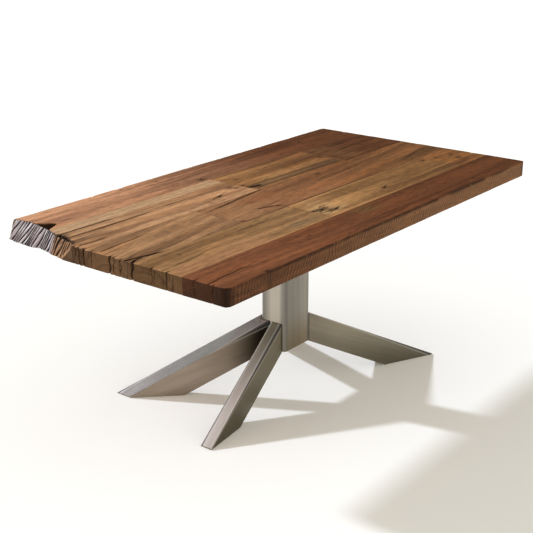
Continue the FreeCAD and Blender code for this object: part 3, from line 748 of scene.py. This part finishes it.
def board_object(board):
    """The finished mesh of one board, riding on the table and standing for its CAD node."""
    board.low = board.low + np.array([0.0, SEAM_GAP, 0.0])
    board.high = board.high - np.array([0.0, SEAM_GAP, 0.0])
    shell = board_shell(board.low, board.high)
    divide(board, shell, COARSE_REACH)
    divide(board, shell, FINE_REACH, upright=False)
    places, stored = shaped(board, np.array([vert.co for vert in shell.verts]))
    for vert, place in zip(shell.verts, places):
        vert.co = place
    mesh = bpy.data.meshes.new(board.node)
    shell.to_mesh(mesh)
    shell.free()
    for name, values in stored.items():
        mesh.attributes.new(name, "FLOAT", "POINT").data.foreach_set("value", values.astype(np.float32))
    mesh.polygons.foreach_set("use_smooth", np.ones(len(mesh.polygons), bool))
    made = put("board_" + board.name, mesh)
    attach(made, "table")
    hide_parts(board.node)
    return made


slot_of = {subpart["node"]: subpart["material_slot"] for subpart in frame["record"]["subparts"]}
boards = {board.node: board_object(board) for board in BOARDS}
print({name: len(made.data.polygons) for name, made in boards.items()})

# %% [markdown]
# ## Old wood
# Wood is a bundle of growth rings cut open by the saw. Here the rings run round an imagined heart below the
# board, wander along its length and flow round the knots, so the same sum draws streaks on the top and arcs
# on the ends. Over them lie fine pores, bands of other tones, painted shade in what is hollow, saw marks on
# the long edges and grey, washed fibres on the weathered end.

# %% Rings and pores
DIRT_REACH = 0.003
HEART_BELOW = 0.09


def near_knot(x, y, knot, wide, high):
    """1 in the middle of a knot, fading outwards, and how far beside that middle a point lies."""
    kx, ky, radius = knot
    far_x, far_y = (x - kx) / (radius * wide), (y - ky) / (radius * high)
    return math.e ** (0 - far_x * far_x - far_y * far_y), far_y


def ring_place(finish, board, x, y, z):
    """Place across the grain and distance from the heart of the tree, both bent by wandering and by knots."""
    centre = (board.low + board.high) / 2
    wander = finish.noise(x * 1.3 + board.seed, y * 7, z * 7) - 0.5
    curl = finish.noise(x * 6 + board.seed, y * 24, z * 24, 3.0) - 0.5
    across = y + (x - float(centre[0])) * board.slope + wander * 0.045 + curl * 0.016
    for knot in board.knots:
        near, beside = near_knot(x, y, knot, 3.4, 1.7)
        across = across + beside * near * knot[2] * 1.1
    heart_y = float(centre[1]) + 0.05 * math.sin(board.seed)
    heart_z = float(centre[2]) - HEART_BELOW
    side = across - heart_y
    height = z - heart_z
    return across, (side * side + height * height) ** 0.5


def knot_heart(board, x, y):
    """1 in the middle of any knot, fading outwards."""
    total = 0.0
    for knot in board.knots:
        total = near_knot(x, y, knot, 1.9, 1.1)[0] + total
    return total


def seam_dirt(board, x, y):
    """1 beside a joint with another board, where dirt has settled."""
    total = 0.0
    for place, axis, first, last in ((y, 1, "front", "back"), (x, 0, "left", "right")):
        low, high = float(board.low[axis]), float(board.high[axis])
        if low - OUTSIDE[first] > TOUCHING:
            total = (place - low).fade(DIRT_REACH, 0.0) + total
        if OUTSIDE[last] - high > TOUCHING:
            total = (high - place).fade(DIRT_REACH, 0.0) + total
    return total


print("grain, rings, knots and dirt are sums of x, y and z")

# %% Tones of a board
CRACK_TONE = tone(0.018, 0.01, 0.006)
SILVER_TONE = tone(0.56, 0.475, 0.51)
BLEACHED_TONE = tone(0.88, 0.84, 0.9)
GROOVE_TONE = tone(0.022, 0.016, 0.017)
EDGE_TONE = tone(0.046, 0.024, 0.012)
EDGE_FAR = tone(0.245, 0.133, 0.06)
KNOT_TONE = tone(0.1, 0.045, 0.02)


def wood_tones(finish, board, x, y, z, across, rings):
    """Colour of a board's clean wood, from its broad rings to its finest streaks."""
    broad = finish.noise(rings * 46, x * 0.45 + board.seed, y * 3, 3.0, 0.6)
    streak = finish.noise(rings * 190, x * 2.2 + board.seed, y * 8, 3.0, 0.6)
    hair = finish.noise(rings * 620, x * 7 + board.seed, y * 20, 2.0)
    mottle = finish.noise(x * 22 + board.seed, across * 85, z * 75, 4.0, 0.65)
    blotch = finish.noise(x * 2.4 + board.seed, across * 14, z * 12, 3.0)
    lines = finish.noise(rings * 120, x * 1.1 + board.seed, 4.0, 2.0).fade(0.57, 0.68)
    colour = finish.mix(broad.fade(0.36, 0.62), board.dark, board.pale)
    colour = finish.mix(blotch.fade(0.46, 0.7) * 0.75, colour, board.warm)
    for x0, x1, middle, half, uneven, band in board.bands:
        shift = (finish.noise(x * 7, y * 5, board.seed, 3.0) - 0.5) * uneven
        edge = abs(y - middle + shift).fade(half * 1.25, half * 0.7)
        along = x + (finish.noise(x * 3, y * 60, board.seed, 3.0) - 0.5) * uneven * 4
        soft = 0.01 + uneven
        reach = along.fade(x0 - soft, x0 + soft) * along.fade(x1 + soft, x1 - soft)
        colour = finish.mix(edge * reach * 0.8, colour, tone(*band))
    colour = finish.mix(lines * 0.6, colour, board.dark)
    shade = 1.06 + (streak - 0.5) * 1.3 + (mottle - 0.5) * 1.4 + (hair - 0.5) * 0.5
    colour = finish.mix(1.0, colour, finish.grey(shade), "MULTIPLY")
    return colour, streak + mottle * 0.5 + hair * 0.4


print("tones run from", SILVER_TONE[:3], "on weathered fibres to", CRACK_TONE[:3], "in the cracks")

# %% Dirt, stains and saw marks on a board
SAW_PITCH = 0.0145


def stained(finish, board, x, y, rings, colour):
    """Darkens the knots, the seams, the cracks' surroundings and the streaks behind the left end, and paints
    the shadow behind the weathered rim.
    """
    if board.knots:
        heart = knot_heart(board, x, y)
        ragged = finish.noise(x * 75 + board.seed, y * 130, 1.0, 3.0, 0.65)
        colour = finish.mix(heart.fade(0.05, 0.9) * 0.38, colour, KNOT_TONE)
        burnt = (heart * 0.55 + ragged * 0.9).fade(0.72, 1.05) * heart.fade(0.1, 0.4)
        colour = finish.mix(burnt * 0.48, colour, CRACK_TONE)
    settled = finish.noise(x * 4 + board.seed, y * 9, 2.0, 3.0).fade(0.48, 0.66)
    colour = finish.mix(seam_dirt(board, x, y) * settled * 0.6, colour, CRACK_TONE)
    # Stains around the cracks, and on the weathered boards the painted shadow behind the rim.
    colour = finish.mix(finish.stored("stain_and_rim_shade") * 0.72, colour, CRACK_TONE)
    if board.low[0] < OUTSIDE["left"] + TOUCHING:
        near_end = x.fade(-0.56, -0.88)
        streaks = finish.noise(rings * 210, x * 1.6 + board.seed, 7.0, 2.0).fade(0.59, 0.66)
        colour = finish.mix(near_end * streaks * 0.62, colour, CRACK_TONE)
    return colour


def saw_marks(finish, board, x, z):
    """1 in the steep, uneven marks that a saw left on the long edges."""
    skew = finish.noise(x * 9, z * 14, board.seed, 3.0)
    lean = finish.noise(x * 2.6, board.seed, 6.0, 2.0) * 2.2 - 0.7
    hatch = ((x - (z - float(board.high[2])) * lean + skew * 0.05) * (2 * math.pi / SAW_PITCH)).sine()
    return hatch.fade(-0.3, 1.0) * finish.noise(x * 12, z * 35, board.seed + 5.0, 3.0).fade(0.3, 0.56)


print("saw marks every", SAW_PITCH * 1000, "mm")

# %% Old board finish
def old_wood(board):
    finish = Finish(board.name + "_wood")
    x, y, z = finish.split(finish.place())
    normal_x, normal_y, normal_z = finish.facing()
    on_end = abs(normal_x).fade(0.55, 0.85)
    on_edge = abs(normal_y).fade(0.55, 0.85)
    across, rings = ring_place(finish, board, x, y, z)
    colour, relief = wood_tones(finish, board, x, y, z, across, rings)
    along = x.fade(float(board.low[0]), float(board.low[0] * 0.2 + board.high[0] * 0.8))
    # The ends' factors paint the light falling off along each board from left to right, with some change of
    # its own tone, on all but the long edges.
    light_falloff_and_tone = finish.mix(along, *board.ends)
    colour = finish.mix(1.0 - on_edge, colour, light_falloff_and_tone, "MULTIPLY")
    pores = finish.noise(rings * 760, x * 26 + board.seed, z * 300, 1.0)
    dashes = pores.fade(0.58, 0.72) * finish.noise(x * 3 + board.seed, y * 30, z * 30).fade(0.4, 0.65)
    colour = finish.mix(dashes * 0.5, colour, CRACK_TONE)
    colour = stained(finish, board, x, y, rings, colour)

    rough_end = finish.noise(y * 320, z * 40, x * 20, 2.0)
    checks = finish.noise(y * 130 + board.seed, z * 9, x * 4, 3.0).fade(0.54, 0.68)
    end_colour = finish.mix(rough_end * 0.5 + 0.35, colour, board.dark)
    end_colour = finish.mix(0.62 + checks * 0.34, end_colour, CRACK_TONE)
    dim = y.fade(-0.3, -0.46) * 0.7 + y.fade(0.04, 0.1) * 0.6
    end_colour = finish.mix(dim * x.fade(0.2, -0.2), end_colour, CRACK_TONE)
    old = finish.stored("old")
    colour = finish.mix(on_end * 0.95 * (1 - old), colour, end_colour)
    edge_colour = finish.mix(x.fade(-0.9, 0.3), EDGE_TONE, EDGE_FAR)
    colour = finish.mix(on_edge * 0.52, colour, edge_colour)
    saw = saw_marks(finish, board, x, z)
    colour = finish.mix(on_edge * saw * 0.5, colour, CRACK_TONE)

    # Painted shade on the rounded upright corners of the top, on their sides and ends but not on the
    # weathered end.
    from_corner = (OUTSIDE["right"] - abs(x)) + (OUTSIDE["back"] - abs(y))
    painted_corner_shade = from_corner.fade(0.045, 0.012) * 0.62 + from_corner.fade(0.019, 0.0135) * 0.26
    colour = finish.mix(painted_corner_shade * (1 - abs(normal_z).fade(0.6, 0.9)) * (1 - old), colour, CRACK_TONE)
    if board.low[1] < OUTSIDE["front"] + TOUCHING:
        from_arris = (y - OUTSIDE["front"]) + (float(board.high[2]) - z)
        broken = finish.noise(x * 9, board.seed, 3.0, 3.0).fade(0.3, 0.52)
        broken = broken * x.fade(-0.84, -0.7) * x.fade(0.88, 0.6)
        colour = finish.mix(from_arris.fade(0.011, 0.004) * broken * 0.72, colour, CRACK_TONE)

    silver = finish.stored("silver")
    hollow = finish.stored("hollow")
    fibres = finish.noise(y * 420 + z * 150, z * 26, x * 26).fade(0.35, 0.65)
    bleached = finish.noise(y * 150 + z * 60, z * 12, x * 20 + 9.0, 2.0).fade(0.5, 0.66)
    washed = finish.mix(fibres * 0.72, finish.mix(bleached, SILVER_TONE, BLEACHED_TONE), GROOVE_TONE)
    colour = finish.mix(old * on_end * (0.25 + fibres * 0.45), colour, KNOT_TONE)
    colour = finish.mix(silver * 0.92, colour, washed)
    # Painted shade in the cracks, knot hearts, splits, pits and the grooves between the flutes, darker where
    # the wood lies deeper.
    painted_hollow_shade = finish.mix(silver, CRACK_TONE, GROOVE_TONE)
    colour = finish.mix(hollow.fade(0.15, 0.85) * 0.94, colour, painted_hollow_shade)

    roughness = 0.42 + pores * 0.16 + hollow * 0.3 + on_end * 0.25 + on_edge * 0.12
    height = relief * 0.4 + pores * 0.2 - dashes * 0.4 - on_edge * saw * 0.9 - on_end * checks * 2.0
    return finish.close({
        "Base Color": colour, "Roughness": roughness, "Normal": finish.bump(height, 0.0009, 0.8),
        "Specular IOR Level": 0.05,
    })


for board in BOARDS:
    boards[board.node].data.materials.append(old_wood(board))
    print(board.name, "has", len(bpy.data.materials[board.name + "_wood"].node_tree.nodes), "nodes")

# %% [markdown]
# ## Brushed steel
# The column and the legs are folded from steel sheet and brushed along their length, which leaves fine
# parallel scratches and slow changes of sheen. A point is split into how far it lies along the piece and
# what is left across it, and noise that is stretched along the piece gives the scratches.

# %% Corners of the column and the legs
column_low, column_high = (np.array(corner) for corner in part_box("column_tube"))
COLUMN_X, COLUMN_Y = (float(half) for half in (column_high - column_low)[:2] / 2)


def column_corner(x, y):
    """How far a point of the column lies from its nearest upright corner."""
    return (COLUMN_X - abs(x)) + (COLUMN_Y - abs(y))


def leg_corner(node, outward):
    """Makes the distance from a leg's upper corners, measured from the leg's own upper face."""
    mesh, matrix = nodes[node].data, nodes[node].matrix_world
    points = np.array([matrix @ vert.co for vert in mesh.vertices])
    way_x, way_y = (float(value) for value in outward[:2] / np.linalg.norm(outward[:2]))
    width = points[:, 1] * way_x - points[:, 0] * way_y
    middle, half = float(width.max() + width.min()) / 2, float(width.max() - width.min()) / 2
    upper = max((face for face in mesh.polygons if 0.3 < face.normal.z < 0.98), key=lambda face: face.area)
    normal, level = [float(value) for value in upper.normal], float(upper.normal.dot(matrix @ upper.center))

    def corner(x, y, z):
        aside = half - abs(y * way_x - x * way_y - middle)
        return aside + level - x * normal[0] - y * normal[1] - z * normal[2]

    return corner


print("corners are found from", [name for name in nodes if name.startswith("leg_")])

# %% Painted sheen and shade of the column and the legs
# Painted brownish shade at the column's foot and a painted dark, bluish reflection along its upright corners.
COLUMN_FOOT_SHADE = (0.84, 0.74, 0.53)
COLUMN_CORNER_REFLECTION = tone(0.76, 0.79, 0.84)


def column_sheen(finish, x, y, z):
    """Painted highlights in broad upright bands on the faces, painted brownish shade at the foot and a
    painted dark, bluish reflection along the upright corners.
    """
    normal_x, _, _ = finish.facing()
    on_side = abs(normal_x).fade(0.5, 0.9)
    side_band = 1.0 + abs(y + 0.014).fade(0.052, 0.012) * 0.85
    front_band = 0.98 + x.fade(-0.01, 0.06) * 0.28
    band = side_band * on_side + front_band * (1 - on_side)
    foot = finish.vector(*(band * share for share in COLUMN_FOOT_SHADE))
    factor = finish.mix(z.fade(0.16, 0.34), foot, finish.grey(band))
    return finish.mix(column_corner(x, y).fade(0.03, 0.008) * 0.8, factor, COLUMN_CORNER_REFLECTION)


def leg_sheen(low, side, upper, toe):
    """Makes the painted light of one leg: painted shade on its sides near the column and towards the floor,
    and a painted light tone on its upper face that changes from the column to the toe.
    """
    def sheen(finish, x, y, z):
        _, _, normal_z = finish.facing()
        out = (x * x + y * y) ** 0.5
        # Painted shade on the sides, growing towards the floor.
        painted_low_shade = 1 - (1 - z.fade(0.0, 0.24)) * low
        aside = finish.mix(out.fade(0.1, 0.24), tone(*side[0]), tone(*side[1]))
        aside = finish.mix(1.0, aside, finish.vector(painted_low_shade, painted_low_shade, painted_low_shade * 0.97), "MULTIPLY")
        above = finish.mix(out.fade(toe * 0.2, toe), tone(*upper[0]), tone(*upper[1]))
        return finish.mix(normal_z.fade(0.35, 0.6), aside, above)

    return sheen


print("sheen is a colour factor over the piece")

# %% Steel brushed along one direction
EDGE_HIGHLIGHT_TONE = tone(0.62, 0.6, 0.57)
CORNER_REFLECTION_TONE = tone(0.05, 0.053, 0.06)
JOINT_SHADE_TONE = tone(0.05, 0.04, 0.035)
JOINT_SHADE_TOP = 0.3
UPRIGHT = (0, 0, 1)


def brushed_steel(name, axis, base, rough, corner=None, sheen=None, upper_rough=None):
    finish = Finish(name)
    place = finish.place()
    x, y, z = finish.split(place)
    unit = tuple(np.array(axis) / np.linalg.norm(axis))
    along = finish.dot(place, unit)
    lengthwise = finish.node("ShaderNodeVectorMath", {"operation": "SCALE"}, {0: unit, "Scale": along})
    across = finish.node("ShaderNodeVectorMath", {"operation": "SUBTRACT"}, {0: place, 1: lengthwise})
    ax, ay, az = finish.split(across)
    scratch = finish.noise(ax * 1500 + along * 7, ay * 1500, az * 1500, 2.0, 0.6)
    streak = finish.noise(ax * 150 + along * 2.5, ay * 150, az * 150, 2.0)
    sweep = finish.noise(ax * 34 + along * 1.5, ay * 34, az * 34, 1.0)
    cloud = finish.noise(ax * 9 + along * 5, ay * 9, az * 9 + 3.0, 2.0)
    shade = 0.62 + streak * 0.26 + scratch * 0.16 + sweep * 0.34
    colour = finish.mix(1.0, tone(*base), finish.grey(shade), "MULTIPLY")
    if sheen:
        colour = finish.mix(1.0, colour, sheen(finish, x, y, z), "MULTIPLY")
    if corner:
        # Along a leg's upper corners: a painted highlight band, and a painted dark reflection right on the
        # corner.
        off = corner(x, y, z)
        colour = finish.mix(off.fade(0.015, 0.012) * off.fade(0.008, 0.01) * 0.3, colour, EDGE_HIGHLIGHT_TONE)
        colour = finish.mix(off.fade(0.009, 0.0055) * 0.72, colour, CORNER_REFLECTION_TONE)
    if axis != UPRIGHT:
        # Painted shade on a leg where it meets the column.
        joint_shade = (abs(x) - COLUMN_X).fade(0.0065, 0.001) * (abs(y) - COLUMN_Y).fade(0.0065, 0.001)
        colour = finish.mix(joint_shade * (JOINT_SHADE_TOP - z).fade(0.0, 0.01) * 0.55, colour, JOINT_SHADE_TONE)
    _, _, normal_z = finish.facing()
    rough_here = rough + normal_z.fade(0.35, 0.6) * ((upper_rough or rough) - rough)
    roughness = rough_here + (scratch - 0.5) * 0.16 + (cloud - 0.5) * 0.14
    return finish.close({
        "Base Color": colour, "Metallic": 0.92, "Roughness": roughness,
        "Normal": finish.bump(scratch + streak * 0.5, 0.00006, 0.6),
    })


def dress(node, material):
    """Gives a CAD node its finish."""
    slots = nodes[node].data.materials
    slots.clear()
    slots.append(material)


print("dark in the corners", CORNER_REFLECTION_TONE[:3])

# %% Dress the column and the legs
STEEL = (0.35, 0.315, 0.26)
COLUMN_STEEL = (0.25, 0.225, 0.19)
HEAD_ABOVE = 0.05
# Painted light of each leg: how much its sides darken towards the floor, its sides' factors near the column
# and further out, its upper face's factors near the column and at the toe, and the roughness of its upper
# face.
LEGS = {
    "left": {"low": 0.08, "side": ((0.07, 0.058, 0.045), (1.0, 0.89, 0.87)),
             "upper": ((0.85, 0.95, 1.12), (0.62, 0.63, 0.74)), "rough": 0.24},
    "front": {"low": 0.3, "side": ((0.58, 0.55, 0.45), (0.55, 0.53, 0.44)),
              "upper": ((0.42, 0.41, 0.34), (1.25, 1.25, 1.38)), "rough": 0.42},
    "right": {"low": 0.5, "side": ((0.72, 0.71, 0.69), (0.92, 0.92, 0.86)),
              "upper": ((0.8, 0.79, 0.78), (0.9, 0.89, 0.89)), "rough": 0.3},
    "back": {"low": 0.3, "side": ((0.3, 0.27, 0.24), (0.9, 0.87, 0.8)),
             "upper": ((0.85, 0.95, 1.12), (0.62, 0.63, 0.74)), "rough": 0.24},
}
dress("column_tube", brushed_steel("column_steel", UPRIGHT, COLUMN_STEEL, 0.36, sheen=column_sheen))
dress("column_bottom_cap", brushed_steel("cap_steel", (1, 0, 0), STEEL, 0.4))
head = np.array([0.0, 0.0, column_low[2] + HEAD_ABOVE])
for leg, look in LEGS.items():
    toe = np.mean(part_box("leveller_cup_" + leg), axis=0)
    sheen = leg_sheen(look["low"], look["side"], look["upper"], math.hypot(toe[0], toe[1]))
    corner = leg_corner("leg_" + leg, toe - head)
    way = tuple(toe - head)
    leg_steel = brushed_steel("leg_steel_" + leg, way, STEEL, 0.42, corner, sheen, look["rough"])
    dress("leg_" + leg, leg_steel)
    dress("foot_plate_" + leg, leg_steel)
print("steel on the column and", len(LEGS), "legs")

# %% [markdown]
# ## Hidden hardware
# Under the top sit the black plate with its ribs, the channels, the bolts and the levelling feet. They
# are small and mostly out of sight, but each still gets the finish its metal, plastic, rubber or wood has.

# %% Paint, zinc, brass, plastic, rubber and beech
def mottled(name, base, change, scale, metallic, roughness):
    """A finish with a slow and a fine change of tone and a slight texture."""
    finish = Finish(name)
    x, y, z = finish.split(finish.place())
    slow = finish.noise(x * scale, y * scale, z * scale, 3.0)
    quick = finish.noise(x * scale * 14, y * scale * 14, z * scale * 14, 2.0)
    colour = finish.mix(slow.fade(0.3, 0.7), tone(*base), tone(*change))
    return finish.close({
        "Base Color": colour, "Metallic": metallic, "Roughness": roughness + (quick - 0.5) * 0.2,
        "Normal": finish.bump(quick, 0.0001, 0.5),
    })


MOTTLED = {
    "black_steel": ((0.035, 0.035, 0.036), (0.05, 0.05, 0.05), 30, 0.0, 0.5),
    "zinc_steel": ((0.6, 0.61, 0.62), (0.5, 0.5, 0.48), 120, 1.0, 0.35),
    "insert_brass": ((0.7, 0.52, 0.22), (0.58, 0.42, 0.18), 90, 1.0, 0.35),
    "pad_plastic": ((0.045, 0.045, 0.045), (0.06, 0.06, 0.06), 140, 0.0, 0.6),
    "sole_rubber": ((0.06, 0.06, 0.06), (0.08, 0.08, 0.078), 160, 0.0, 0.85),
    "joinery_wood": ((0.52, 0.36, 0.2), (0.44, 0.29, 0.15), 60, 0.0, 0.6),
}
FINISHES = {name: mottled(name, *look) for name, look in MOTTLED.items()}
for node, slot in slot_of.items():
    if slot in FINISHES:
        dress(node, FINISHES[slot])
print(len(FINISHES), "hardware finishes")

# %% [markdown] ## The end
# The dressed table has to stay inside the CAD model's box.
